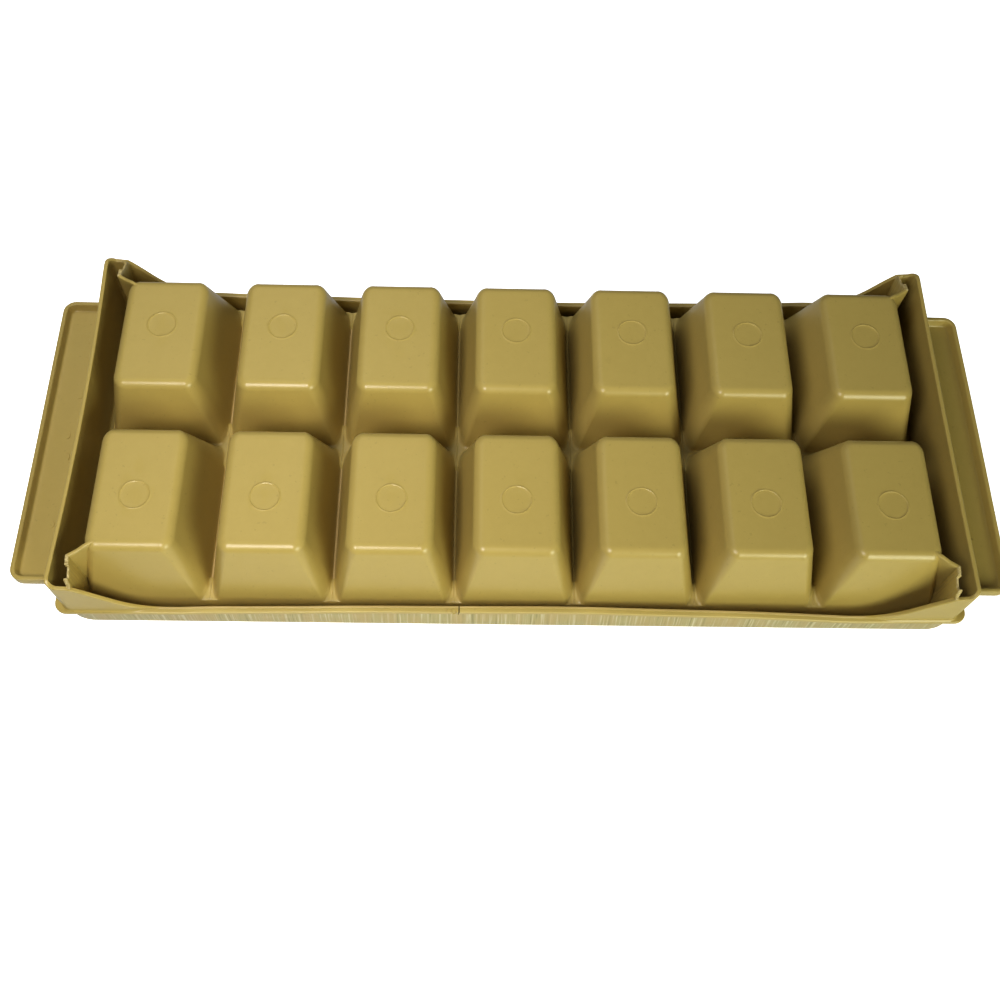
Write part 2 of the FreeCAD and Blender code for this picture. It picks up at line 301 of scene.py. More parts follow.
    def divider_rings(self, last):
        """From the foot to the neighbouring pockets, or on down the wall where there is none."""
        s, foot, (x0, x1, y0, y1) = self.at, self.foot, self.limits
        goal_x, goal_y = np.where(s.nx > 0, x1, x0), np.where(s.ny > 0, y1, y0)
        border = foot.copy()
        in_corner = (s.nx != 0) & (s.ny != 0)
        edge_x, edge_y = self.edge_of_corner(0), self.edge_of_corner(1)
        first, second = np.minimum(2 * self.from_x, 1), np.maximum(2 * self.from_x - 1, 0)
        border[:, 0] = np.where(in_corner, goal_x + (edge_x - goal_x) * second,
                                np.where(s.nx != 0, goal_x, foot[:, 0]))
        border[:, 1] = np.where(in_corner, edge_y + (goal_y - edge_y) * first,
                                np.where(s.ny != 0, goal_y, foot[:, 1]))
        free_y = (border[:, 1] > y1 - 1e-6) & ~self.runs_on
        free_x = self.at_end & (border[:, 0] > x1 - 1e-6) & ~self.runs_on
        drop_y = np.minimum(0.55, np.where(free_y, y1 - last[:, 1], 0.0) / 2)
        drop_x = np.minimum(0.55, np.where(free_x, x1 - last[:, 0], 0.0) / 2)
        drop = np.maximum(drop_x, drop_y)
        ridge = RIDGE * (self.inset == 0) * np.clip(1 - drop / 0.2, 0, 1)
        ridge = ridge * (self.foot_z == self.base)
        span = np.maximum(np.linalg.norm((border - last)[:, :2], axis=1), 1e-6)
        width = np.maximum(1.1 * drop, np.minimum(0.22, 0.5 * span) * (ridge > 0))
        near = last + (border - last) * np.clip(1 - width / span, 0.5, 0.96)[:, None]
        near[:, 2] = self.foot_z
        border -= 0.29 * np.stack([drop_x, drop_y, 0 * drop], axis=1)
        border[:, 2] = self.foot_z - 0.29 * drop + ridge
        for ring, below in ((near, 0.05), (border, 0.1)):
            down = self.moved(foot, np.tan(self.lean) * below, self.out, self.base - below)
            ring[self.runs_on] = down[self.runs_on]
        return [near, border]

    def edge_of_corner(self, axis):
        """Where each station's corner begins on the x side (axis 1) or the y side (axis 0)."""
        s = self.at
        size = corner_size(self.base, self.inset)[axis]
        out = np.zeros(s.count)
        for sign_x in (-1, 1):
            for sign_y in (-1, 1):
                mine = (np.sign(s.u - 0.5) == sign_x) & (np.sign(s.v - 0.5) == sign_y)
                sign, here = (sign_x, sign_y)[axis], self.foot[mine, axis]
                out[mine] = (here.max() if sign > 0 else here.min()) - sign * size
        return out


def pocket_pair(at_end):
    """Outer and inner side of a pocket; they meet only at the tray's rim."""
    return (Pocket(at_end, 0.0, POCKET_TOP, DIVIDER_TOP, BOTTOM_ROUND, FOOT_ROUND),
            Pocket(at_end, WALL, POCKET_TOP - WALL, DIVIDER_TOP - WALL, BOTTOM_ROUND - WALL,
                   INNER_FOOT_ROUND))


def pocket_mesh(name, pair, shift):
    points, faces = [], []
    for side in pair:
        rings = side.rings()
        first, count = len(points), side.at.count
        mine = [(first, first + 1 + j, first + 1 + (j + 1) % count) for j in range(count)]
        mine += quads(first + 1, len(rings), count)
        faces += [face[::-1] for face in mine] if side.inset > 0 else mine
        points += [rings[0].mean(axis=0)] + [point for ring in rings for point in ring]
    return mesh_object(name, np.array(points) + [shift, 0, 0], faces)


# The rim quarter: rows of points from the pocket field's edge over the band and back under it

class RimStations:
    """Stations along the pocket field's edge, from the tray's middle round to its right end."""

    def __init__(self, middle, end):
        top, below, turn, end_side, leg_share = [], [], [], [], []
        spacing = leg_spacing()
        half_corner = ROUND_CORNER // 2
        for column in range(4):
            outer, inner = end if column == 3 else middle
            upper, lower = outer.rings()[-1], inner.rings()[-1]
            first = 0 if column == 0 else ALONG_SHORT + half_corner
            last = ALONG_SHORT + half_corner - 1
            if column == 3:
                last = ALONG_LEG + ROUND_CORNER + ALONG_LONG + half_corner
            for step in range(-first, last + 1):
                j = -step % outer.at.count
                shift = np.array([column * PITCH, 0, 0])
                top.append(upper[j] + shift)
                below.append(lower[j] + shift)
                past_leg = step - ALONG_LEG if column == 3 else -1
                turn.append(min(max(past_leg / ROUND_CORNER, 0), 1) * math.pi / 2)
                end_side.append(past_leg >= ROUND_CORNER)
                beside_leg = column == 3 and step > 0
                leg_share.append(spacing[min(step, ALONG_LEG)] if beside_leg else 0.0)
        self.top, self.below = np.array(top), np.array(below)
        self.turn, self.end_side = np.array(turn), np.array(end_side)
        self.leg_share = np.array(leg_share)
        self.on_side = self.turn == 0
        self.end_start = self.top[self.end_side][0, 1]

    def around(self, half_x, half_y, radius_x, radius_y, z):
        """A row of points on a rounded rectangle; sizes may differ from station to station."""
        side_end = half_x - radius_x
        x = np.where(self.leg_share > 0, LEG_FIELD_X + self.leg_share * (side_end - LEG_FIELD_X),
                     self.top[:, 0])
        y = self.top[:, 1] * (half_y - radius_y) / self.end_start
        x = np.where(self.on_side, x, side_end + radius_x * np.sin(self.turn))
        y = np.where(self.on_side, half_y,
                     np.where(self.end_side, y, half_y - radius_y + radius_y * np.cos(self.turn)))
        return np.stack([x, y, z + 0 * x], axis=1)

    def ring(self, sizes, z, inset):
        return self.around(*(size - inset for size in sizes), z)

    def field(self, z, out=0.0):
        """The pocket field's outer wall at height z, moved out."""
        halves = (edge + lean * (DIVIDER_TOP - z) + out
                  for edge, lean in zip(FIELD_EDGE, FIELD_LEAN))
        return self.around(*halves, *corner_size(z, -out), z)

    def inner_face(self, z, inset=0.0):
        """The band's and legs' inner face; its corners are wider near the fold."""
        radius = 1.8 + 4.4 * np.clip((LEDGE - z) / (LEDGE - FOLD), 0, 1) - inset * 0.5
        return self.around(*(half - SKIRT - inset for half in WALLS_OUT), radius, radius, z)

    def free_edge(self):
        """Height of the free edge: low along the skirts, up the legs, over the feet to the ends."""
        x = self.around(*WALLS_OUT, WALL_CORNER, WALL_CORNER, 0.0)[:, 0]
        slope_z = LEDGE + LEG_ROUND * (1 - math.cos(LEG_ANGLE))
        slope_x = HEEL[0] - (HEEL[1] - slope_z) / math.tan(LEG_ANGLE)
        start = slope_x - LEG_ROUND * math.sin(LEG_ANGLE)
        across = np.clip(x - start, 0, LEG_ROUND * math.sin(LEG_ANGLE))
        leg = LEDGE + LEG_ROUND - np.sqrt(LEG_ROUND ** 2 - across ** 2)
        leg = leg + np.clip(x - slope_x, 0, HEEL[0] - slope_x) * math.tan(LEG_ANGLE)
        foot = np.interp(x, [HEEL[0], TIP[0], WALLS_OUT[0]], [HEEL[1], TIP[1], END_WALL_TOP])
        return LEDGE + np.hypot(0.35, np.where(x > HEEL[0], foot, leg) - LEDGE)


def quarter_round(first=1):
    """Steps of a quarter round, in shares of its radius: left to go one way, gone the other."""
    turns = [math.pi / 2 * step / 3 for step in range(first, 4)]
    return [(1 - math.sin(turn), 1 - math.cos(turn)) for turn in turns]


def channel_rows(at):
    rows = [at.top, at.field(5.75), at.field(4.2), at.field(2.3)]
    rows += [at.field(FOLD + 0.75 * fall, 0.55 * run) for fall, run in quarter_round()]
    return rows + [at.inner_face(FOLD + 0.9 * run, 0.9 * fall) for fall, run in quarter_round(0)]


def free_edge_rows(at):
    """Up the inner face, over the free edge and down to the ledge on the bead."""
    height = at.free_edge()
    tall = smooth(9.8, 13.0, height)
    thick = THIN_SKIRT + (SKIRT - THIN_SKIRT) * tall
    nose = 0.2 + 0.15 * tall
    hollow = 0.1 + 0.45 * tall
    shares = (0.2, 0.4, 0.6, 0.8, 1.0)

    def outer_face(z, out):
        reach = thick - SKIRT + out
        lean = 0.02 * (END_WALL_TOP - z)
        return at.around(WALLS_OUT[0] + reach + lean, WALLS_OUT[1] + reach,
                         WALL_CORNER, WALL_CORNER, z)

    rows = [at.inner_face(z) for z in (4.4, 6.4, 8.4)]
    rows += [at.inner_face(8.4 + (height - nose - 8.4) * share) for share in shares]
    rows += [at.inner_face(height - nose * fall, -nose * run) for fall, run in quarter_round()]
    rows += [outer_face(height - nose * run, -nose * fall) for fall, run in quarter_round(0)]
    top, low = height - nose, LEDGE + hollow
    rows += [outer_face(top + (low - top) * share, 0.0) for share in shares]
    return rows + [outer_face(LEDGE + hollow * fall, hollow * run) for fall, run in quarter_round()]


def band_rows(at):
    rows = [at.ring(BEAD, z, inset) for z, inset in BEAD_PROFILE]
    rows += [at.ring(BAND, z, inset) for z, inset in BAND_PROFILE]
    return rows + [at.ring(BAND, BAND_FOOT_ROUND * fall, BAND_FOOT_ROUND * run)
                   for fall, run in quarter_round()]


def basin_rows(at):
    rows = [at.field(0.0, 2.4 - LEVEL_WALL)]
    rows += [at.field(0.5 * run, 0.5 * fall - LEVEL_WALL) for fall, run in quarter_round(0)]
    return rows + [at.field(2.3, -LEVEL_WALL), at.field(4.2, -LEVEL_WALL), at.below]


def rim_quarter(middle, end):
    at = RimStations(middle, end)
    rows = channel_rows(at) + free_edge_rows(at) + band_rows(at) + basin_rows(at)
    faces = quads(0, len(rows), len(at.top), closed=False, upward=False)
    return mesh_object("rim quarter", np.concatenate(rows), faces)


# Trees of nodes

def plug(tree, item, socket):
    """Links a value or a socket to a socket, or sets the socket's own number."""
    item = item.socket if isinstance(item, Value) else item
    if isinstance(item, bpy.types.NodeSocket):
        tree.links.new(item, socket)
    else:
        socket.default_value = item


def add_node(tree, kind, settings, sockets):
    """Adds a node: settings first, then sockets by position as s0, s1 and so on."""
    made = tree.nodes.new(kind)
    for key, value in (settings or {}).items():
        setattr(made, key, value)
    for key, value in sockets.items():
        for item in value if isinstance(value, list) else [value]:
            plug(tree, item, made.inputs[int(key[1:])])
    return made.outputs


class Wire:
    """A geometry node tree under construction: named inputs, nodes and links."""

    def __init__(self, name, inputs):
        self.tree = bpy.data.node_groups.new(name, "GeometryNodeTree")
        face = self.tree.interface
        for label, kind in {"Mesh": "Geometry", **inputs}.items():
            face.new_socket(label, in_out="INPUT", socket_type="NodeSocket" + kind)
        face.new_socket("Mesh", in_out="OUTPUT", socket_type="NodeSocketGeometry")
        self.inputs = self.tree.nodes.new("NodeGroupInput").outputs
        self.output = self.tree.nodes.new("NodeGroupOutput").inputs[0]

    def node(self, kind, settings=None, out=0, **sockets):
        return add_node(self.tree, kind, settings, sockets)[out]

    def finish(self, mesh, material):
        real = self.node("GeometryNodeRealizeInstances", s0=mesh)
        plug(self.tree, self.node("GeometryNodeSetMaterial", s0=real, s2=material), self.output)


def run_tree(wire, name, values, start=None):
    """Runs the tree on an object and returns its result as a plain mesh."""
    holder = add_object(name, start or bpy.data.meshes.new(name))
    modifier = holder.modifiers.new("tree", "NODES")
    modifier.node_group = wire.tree
    for item in wire.tree.interface.items_tree:
        if item.in_out == "INPUT" and item.name in values:
            modifier[item.identifier] = values[item.name]
    bpy.context.view_layer.update()
    evaluated = holder.evaluated_get(bpy.context.evaluated_depsgraph_get())
    mesh = bpy.data.meshes.new_from_object(evaluated)
    bpy.data.objects.remove(holder)
    return mesh


def shell_tree():
    """Sets the pockets in rows, mirrors them with the rim quarter and joins the whole shell."""
    wire = Wire("pocket rows", {
        "Pocket": "Object", "End pocket": "Object", "Rim quarter": "Object", "Columns": "Int",
        "Pitch": "Float", "Join distance": "Float", "Plastic": "Material"})
    _, pocket, end_pocket, rim, columns, pitch, join_distance, plastic, _ = wire.inputs

    def maths(operation, first, second):
        return wire.node("ShaderNodeMath", {"operation": operation}, s0=first, s1=second)

    def mesh_of(given):
        return wire.node("GeometryNodeObjectInfo", out=4, s0=given)

    def join(*meshes):
        return wire.node("GeometryNodeJoinGeometry", s0=list(meshes))

    def mirror(mesh, scale):
        turned = wire.node("GeometryNodeTransform", s0=mesh, s3=scale)
        return join(mesh, wire.node("GeometryNodeFlipFaces", s0=turned))

    inner_columns = maths("SUBTRACT", columns, 2.0)
    first = maths("MULTIPLY", maths("SUBTRACT", inner_columns, 1.0), -0.5)
    start = wire.node("ShaderNodeCombineXYZ", s0=maths("MULTIPLY", first, pitch))
    step = wire.node("ShaderNodeCombineXYZ", s0=pitch)
    line = wire.node("GeometryNodeMeshLine", s0=inner_columns, s2=start, s3=step)
    row = wire.node("GeometryNodeInstanceOnPoints", s0=line, s2=mesh_of(pocket))
    row = wire.node("GeometryNodeRealizeInstances", s0=row)
    rear = join(row, mirror(join(mesh_of(end_pocket), mesh_of(rim)), (-1, 1, 1)))
    whole = mirror(rear, (1, -1, 1))
    wire.finish(wire.node("GeometryNodeMergeByDistance", s0=whole, s2=join_distance), plastic)
    return wire


def whole_shell(plastic):
    """The tray's shell in one mesh, before it is divided."""
    middle, end = pocket_pair(False), pocket_pair(True)
    parts = {"Pocket": pocket_mesh("pocket", middle, 0.0),
             "End pocket": pocket_mesh("end pocket", end, END_COLUMN),
             "Rim quarter": rim_quarter(middle, end)}
    values = {**parts, "Columns": COLUMNS, "Pitch": PITCH * MM, "Join distance": 0.001 * MM,
              "Plastic": plastic}
    mesh = run_tree(shell_tree(), "shell", values)
    for part in parts.values():
        bpy.data.objects.remove(part)
    return mesh


# Small differences of the real moulding, as shifts of the finished points

def bow_free_edges(p):
    """The long skirts draw in between the legs, the left end bows in, the rear legs splay."""
    x, y, z = p.T.copy()
    side, rear, ends = abs(y) > SIDE_FROM, y > SIDE_FROM, abs(x) > END_FROM
    bow = 1.6 * np.clip(1 - (x / 100.0) ** 2, 0, 1) ** 0.8
    sway = 0.12 * np.sin(x / 21.0 + 0.6) + 0.07 * np.sin(x / 9.3)
    p[side, 1] -= (np.sign(y) * (bow + sway) * smooth(0.5, 8.6, z))[side]
    lift = np.clip((z - LEDGE) / 19.0, 0, 1) ** 1.5
    amount = np.where(x < 0, 1.3, 0.25) * np.clip(1 - (y / 54.0) ** 2, 0, 1) * lift
    p[ends, 0] -= (np.sign(x) * amount)[ends]
    p[rear, 1] += (0.9 * smooth(15, 26, z) * smooth(117, 124, abs(x)))[rear]
    return p


def sink_bottoms(p):
    """The pocket bottoms drew in a little in cooling, not all alike, and the marks are uneven."""
    flat = p[:, 2] > POCKET_TOP - WALL - 0.2
    column, row = np.round(np.clip(p[:, 0] / PITCH, -3, 3)), np.sign(p[:, 1])
    x = p[:, 0] - column * PITCH - END_MARGIN * np.sign(column) * (abs(column) == 3)
    y = abs(p[:, 1]) - BOTTOM_MIDDLE
    dish = np.clip(1 - (x / 11.0) ** 2, 0, 1) * np.clip(1 - (y / 18.0) ** 2, 0, 1)
    depth = 0.16 + 0.05 * np.sin(column * 2.3 + row)
    from_mark, angle = np.hypot(x, y - MARK_SHIFT), np.arctan2(y - MARK_SHIFT, x)
    seed = 1.7 * column + 2.6 * row
    on_ring = smooth(3.9, 4.3, from_mark) * smooth(4.95, 4.6, from_mark)
    uneven = 0.05 * np.sin(3 * angle + seed * 3) + 0.035 * np.sin(8 * angle + seed * 5)
    p[flat, 2] += (on_ring * uneven - dish * depth)[flat]
    return p


def point_normals(points, faces):
    """Point normals weighted by face area, so that flat faces stay flat beside small rounds."""
    normals = np.zeros_like(points)
    for size, (a, b, c, d) in ((3, (0, 1, 0, 2)), (4, (0, 2, 1, 3))):
        some = np.array([face for face in faces if len(face) == size])
        place = points[some]
        area = np.cross(place[:, b] - place[:, a], place[:, d] - place[:, c])
        for corner in range(size):
            np.add.at(normals, some[:, corner], area)
    return normals / np.maximum(np.linalg.norm(normals, axis=1), 1e-12)[:, None]


def cap_loops(faces, points, x):
    """Closed loops of the open border that lies in the plane at x, each in face order."""
    steps = dict.fromkeys(step for face in faces for step in zip(face, face[1:] + face[:1]))
    border = {a: b for a, b in steps if (b, a) not in steps and abs(points[a, 0] - x) < 0.002}
    loops = []
    while border:
        at, loop = next(iter(border)), []
        while at in border:
            loop.append(at)
            at = border.pop(at)
        loops.append(loop)
    return loops


def section_mesh(name, faces, points, normals, low, high, plastic):
    """The part of the shell between two cuts, closed at them, with the whole shell's normals."""
    middle = [sum(points[i, 0] for i in face) / len(face) for face in faces]
    mine = [face for face, x in zip(faces, middle) if low < x < high]
    caps = [(loop[::-1], outward) for x, outward in ((low, -1.0), (high, 1.0)) if math.isfinite(x)
            for loop in cap_loops(mine, points, x)]
    used = sorted({i for face in mine for i in face})
    number = {old: new for new, old in enumerate(used)}
    whole = [tuple(number[i] for i in face) for face in mine + [loop for loop, _ in caps]]
    thing = mesh_object(name, points[used], whole, plastic)
    thing.data.shade_smooth()
    directions = [tuple(normals[i]) for face in mine for i in face]
    directions += [(outward, 0.0, 0.0) for loop, outward in caps for _ in loop]
    thing.data.normals_split_custom_set(directions)
    return thing


# Handles: a panel with a raised edge on three sides, and a root that rests on the bead

HANDLE_OUT = 151.3
HANDLE_IN = 134.4
HANDLE_HALF_WIDTH = 50.3
HANDLE_CORNER = 4.0
UNDER = 10.5
PANEL = 11.4
EDGE_TOP = 14.1
HANDLE_PROFILE = (  # inset and height, from the middle below round to the panel above
    (15.0, UNDER), (8.0, UNDER), (3.0, UNDER), (0.5, UNDER), (0.15, 10.62), (0.0, 10.95),
    (0.0, 12.2), (0.03, 13.6), (0.12, 13.95), (0.4, EDGE_TOP), (0.85, 14.12), (1.2, 14.08),
    (1.38, 13.92), (1.5, 13.6), (1.7, 12.9), (1.9, 12.2), (2.08, 11.7), (2.3, 11.46),
    *((inset, PANEL) for inset in (2.7, 4.2, 6.5, 9.0, 12.0, 15.0)))
ROOT_SIZE = (3.4, 2 * HANDLE_HALF_WIDTH, 1.5)
ROOT_X, ROOT_Z = 135.8, 9.95


def handle_stations():
    """Round the handle's outline: x share, y share, direction, 1 on the three raised sides."""
    rows = []

    def side(start, end, n, direction, raised, first=0):
        for share in np.linspace(0, 1, n + 1)[first:-1]:
            rows.append((*(a + (b - a) * share for a, b in zip(start, end)), *direction, raised))

    def corner(at, start, raised, n):
        for step in range(n):
            angle = math.radians(start + 90 * step / n)
            rows.append((*at, math.cos(angle), math.sin(angle), raised))

    side((1, 0), (1, 1), 48, (1, 0), 1)
    corner((1, 1), 0, 1, 8)
    side((1, 1), (0, 1), 12, (0, 1), 1)
    corner((0, 1), 90, 0, 2)
    side((0, 1), (0, 0), 48, (-1, 0), 0)
    corner((0, 0), 180, 0, 2)
    side((0, 0), (1, 0), 12, (0, -1), 1, first=1)
    corner((1, 0), 270, 1, 8)
    return np.array(rows)


def handle_ring(at, inset, z_raised, z_root):
    outer_radius = max(HANDLE_CORNER - inset, 0.5)
    u, v, nx, ny, raised = at.T
    radius = np.where(u == 1, outer_radius, 0.2)
    x0, x1 = HANDLE_IN + 0.02 * inset + 0.2, HANDLE_OUT - inset - outer_radius
    y = (v * 2 - 1) * (HANDLE_HALF_WIDTH - inset - radius)
    z = np.where(raised == 1, z_raised, z_root)
    return np.stack([x0 + u * (x1 - x0) + radius * nx, y + radius * ny, z], axis=1)


def handle_mesh(name, hand, plastic):
    at = handle_stations()
    rings = [handle_ring(at, inset, z, min(z, PANEL)) for inset, z in HANDLE_PROFILE]
    rows, count = len(rings), len(at)
    points = np.concatenate(rings)
    points[:, 2] += 0.15 * np.sin(points[:, 1] / 17.0 + hand) * smooth(134, 151, points[:, 0])
    points[:, 0] *= hand
    faces = [tuple(range(count))[::-1], tuple(range((rows - 1) * count, rows * count))]
    faces += quads(0, rows, count, upward=False)
    if hand < 0:
        faces = [face[::-1] for face in faces]
    thing = mesh_object(name, points, faces, plastic)
    add_root(thing.data, hand)
    return turned_outwards(thing)


def add_root(mesh, hand):
    """The block under the handle that stands on the bead, its edges a little rounded."""
    bm = bmesh.new()
    size = Matrix.Diagonal((*(side * MM for side in ROOT_SIZE), 1))
    place = Matrix.Translation((hand * ROOT_X * MM, 0, ROOT_Z * MM))
    bmesh.ops.create_cube(bm, size=1.0, matrix=place @ size)
    bmesh.ops.bevel(bm, geom=bm.edges[:], offset=0.25 * MM, segments=2, affect="EDGES",
                    profile=0.5)
    bm.from_mesh(mesh)
    bm.verts.index_update()  # the bevel leaves the faces in no fixed order, so they are sorted
    bm.faces.sort(key=lambda face: sum(corner.index ** 3 for corner in face.verts))
    bm.to_mesh(mesh)
    bm.free()


# Gussets: webs across the channel's corners, whose tops were torn off their gates

GUSSET_PLAN = ((123.13, 45.63), (128.53, 49.03), (128.2, 56.7))  # at the pocket, bend, leg


def gusset_top(along, length, roughness, seed):
    """Height of the web's top at a distance from its bend towards the leg, and a plan shift."""
    rough = noise.noise(Vector((along * 2.1, seed, 0.0))) * roughness
    if along < 0:
        return 30.8 + 0.75 * smooth(2.5, 6.0, -along) + rough * 0.4, 0.0
    end = length - 1.3
    slope = 30.9 - 1.5 * along / length
    notch = smooth(2.6, 2.9, along) - smooth(end - 0.15, end + 0.15, along)
    fall = 2.9 * smooth(length - 0.9, length + 0.3, along)
    return slope - 1.2 * notch - fall + rough, 0.55 * notch


def wall_under(x, y):
    """Height at which a place in plan meets the middle of a corner pocket's wall, or the fold."""
    z = np.arange(1.2, 30.7, 0.05)
    size_x, size_y = corner_size(z, WALL / 2)
    wall_x = END_COLUMN + wall_at(MOUTH_HALF_WIDTH + END_MARGIN, BOTTOM_HALF_WIDTH + END_MARGIN,
                                  z, WALL / 2)
    wall_y = wall_at(*OUTER_WALL, z, WALL / 2)
    beyond = np.hypot(np.maximum((x - wall_x) / size_x + 1, 0),
                      np.maximum((y - wall_y) / size_y + 1, 0)) > 1
    return z[beyond.argmax()] if beyond.any() else z[-1]


def gusset_mesh(name, hand, row, seed, plastic, torn):
    start, bend, leg = (np.array(place) for place in GUSSET_PLAN)
    slanted, straight = np.linalg.norm(bend - start), np.linalg.norm(leg - bend)
    along = np.concatenate([np.linspace(-slanted - 2.6, -0.5, 22), [-0.25, 0.0, 0.25],
                            np.linspace(0.5, straight + 1.0, 47)])
    first, second = (bend - start) / slanted, (leg - bend) / straight
    points = []
    for s in along:
        centre = bend + (first if s < 0 else second) * s
        turn = min(max((s + 0.3) / 0.6, 0), 1)
        heading = first * (1 - turn) + second * turn
        heading = heading / np.linalg.norm(heading)
        aside = np.array([heading[1], -heading[0]])
        top, shift = gusset_top(s, straight, 0.22 if s > 0 else 0.08, seed)
        wide = 0.56 + 0.1 * noise.noise(Vector((s * 1.7, seed, 5.0))) * (s > 0)
        low = min(wall_under(*centre) - 0.3, top - 0.9)
        tall = top - low
        section = [(-wide - 0.05, low), (-wide, low + 0.3 * tall),
                   (-wide, top - min(1.2, tall / 2)), (-wide, top - 0.3),
                   (-wide + 0.1, top - 0.08), (-wide + 0.3, top), (0.0, top + 0.03),
                   (wide - 0.3 - shift, top), (wide - 0.1 - shift, top - 0.08),
                   (wide - shift, top - 0.3), (wide - shift * 0.3, top - min(1.6, tall / 2)),
                   (wide, low + 0.3 * tall), (wide + 0.05, low)]
        points += [(*(centre + aside * across), z) for across, z in section]
    size, count = len(section), len(along)
    faces = [tuple(range(size)), tuple(range((count - 1) * size, count * size))[::-1]]
    faces += quads(0, count, size)
    if hand * row < 0:
        faces = [face[::-1] for face in faces]
    thing = mesh_object(name, np.array(points) * [hand, row, 1], faces, plastic, torn)
    torn_faces = [3 <= j <= 8 and s > -0.5 for s in along[:-1] for j in range(size)]
    for polygon, is_torn in zip(thing.data.polygons[2:], torn_faces):
        polygon.material_index = 1 if is_torn else 0
    return turned_outwards(thing)


def curl_tree():
    """Sets a short curl of round bar on each point, turned and scaled at random by its seed."""
    wire = Wire("curls", {"Radius": "Float", "Bar radius": "Float", "Sweep": "Float",
                          "Smallest": "Float", "Seed": "Int", "Plastic": "Material"})
    points, radius, bar_radius, sweep, smallest, seed, plastic, _ = wire.inputs
    arc = wire.node("GeometryNodeCurveArc", {"mode": "RADIUS"}, s0=9, s4=radius, s6=sweep)
    bar = wire.node("GeometryNodeCurvePrimitiveCircle", s0=6, s4=bar_radius)
    curl = wire.node("GeometryNodeCurveToMesh", s0=arc, s1=bar, s3=True)

    def drawn(low, high):
        return wire.node("FunctionNodeRandomValue", {"data_type": "FLOAT"}, out=1,
                         s2=low, s3=high, s8=seed)

    turn, size = drawn(0.0, 2 * math.pi), drawn(smallest, 1.0)
    spin = wire.node("ShaderNodeCombineXYZ", s2=turn)
    wire.finish(wire.node("GeometryNodeInstanceOnPoints", s0=points, s2=curl, s5=spin, s6=size),
                plastic)
    return wire


def curls(name, points, radius, bar, sweep, smallest, seed, plastic):
    start = bpy.data.meshes.new(name)
    start.from_pydata([(x * MM, y * MM, z * MM) for x, y, z in points], [], [])
    values = {"Radius": radius * MM, "Bar radius": bar * MM, "Sweep": sweep, "Smallest": smallest,
              "Seed": seed, "Plastic": plastic}
    return turned_outwards(add_object(name, run_tree(curl_tree(), name, values, start)))


def turned_outwards(thing, angle=40):
    """Recalculates the faces' directions, then smooths every edge blunter than the angle."""
    bm = bmesh.new()
    bm.from_mesh(thing.data)
    bmesh.ops.recalc_face_normals(bm, faces=bm.faces)
    for face in bm.faces:
        face.smooth = True
    for edge in bm.edges:
        edge.smooth = len(edge.link_faces) == 2 and edge.calc_face_angle(0) < math.radians(angle)
    bm.to_mesh(thing.data)
    bm.free()
    return thing


# Plastics

PLACE = "rest_place"


def keep_place(piece):
    """Stores each point's place at rest, which the plastics read, so no mark slides at a twist."""
    places = np.zeros(len(piece.data.vertices) * 3, np.float32)
    piece.data.vertices.foreach_get("co", places)
    piece.data.attributes.new(PLACE, "FLOAT_VECTOR", "POINT").data.foreach_set("vector", places)


class Value:
    """A socket in a shader's maths; expressions on it add Math nodes."""

    def __init__(self, shader, socket):
        self.shader, self.socket = shader, socket

    def __add__(self, other):
        return self.shader.maths("ADD", self, other)

    def __mul__(self, other):
        return self.shader.maths("MULTIPLY", self, other)

    def __sub__(self, other):
        return self.shader.maths("SUBTRACT", self, other)

    def __rsub__(self, other):
        return self.shader.maths("SUBTRACT", other, self)

    def __abs__(self):
        return self.shader.maths("ABSOLUTE", self)

    __radd__, __rmul__ = __add__, __mul__

    def between(self, low, high):
        """As smooth, for a value."""
        return self.shader.node("ShaderNodeMapRange", {"interpolation_type": "SMOOTHSTEP"},
                                s0=self, s1=low, s2=high)


class Shader:
    """A material under construction: the place on the piece, in metres, and nodes that read it."""

    def __init__(self, name, twists=True):
        self.material = bpy.data.materials.new(name)
        self.material.use_nodes = True
        self.tree = self.material.node_tree
        self.principled = self.tree.nodes["Principled BSDF"]
        if twists:
            self.place = self.node("ShaderNodeAttribute", {"attribute_name": PLACE}, out=1)
        else:
            self.place = self.node("ShaderNodeTexCoord", out=3)

    def node(self, kind, settings=None, out=0, **sockets):
        return Value(self, add_node(self.tree, kind, settings, sockets)[out])

    def maths(self, operation, *operands):
        sockets = {"s%d" % number: item for number, item in enumerate(operands)}
        return self.node("ShaderNodeMath", {"operation": operation}, **sockets)

    def parts(self, vector):
        """The x, y and z of a vector."""
        return [self.node("ShaderNodeSeparateXYZ", out=axis, s0=vector) for axis in range(3)]

    def set(self, **named):
        for key, value in named.items():
            plug(self.tree, value, self.principled.inputs[key.replace("_", " ")])

    def grain(self, scale, detail=2.0, roughness=0.5, stretch=(1, 1, 1), shift=(0, 0, 0)):
        """Noise on the places, in cycles per metre."""
        place = self.node("ShaderNodeMapping", s0=self.place, s1=shift, s3=stretch)
        return self.node("ShaderNodeTexNoise", s0=place, s2=scale, s3=detail, s4=roughness)

    def bump(self, strength, distance, height):
        return self.node("ShaderNodeBump", s0=strength, s1=distance, s3=height)

    def mix(self, share, first, second):
        return self.node("ShaderNodeMix", {"data_type": "RGBA"}, out=2,
                         s0=share, s6=first, s7=second)

    def coats(self, colour, *layers):
        """A colour under layers of tint, each laid on by its share."""
        for share, tint in layers:
            colour = self.mix(share, colour, linear(*tint))
        return colour


def linear(*levels):
    """A colour from its usual 0 to 255 values."""
    shares = [level / 255 for level in levels]
    return (*(share / 12.92 if share <= 0.04045 else ((share + 0.055) / 1.055) ** 2.4
              for share in shares), 1.0)


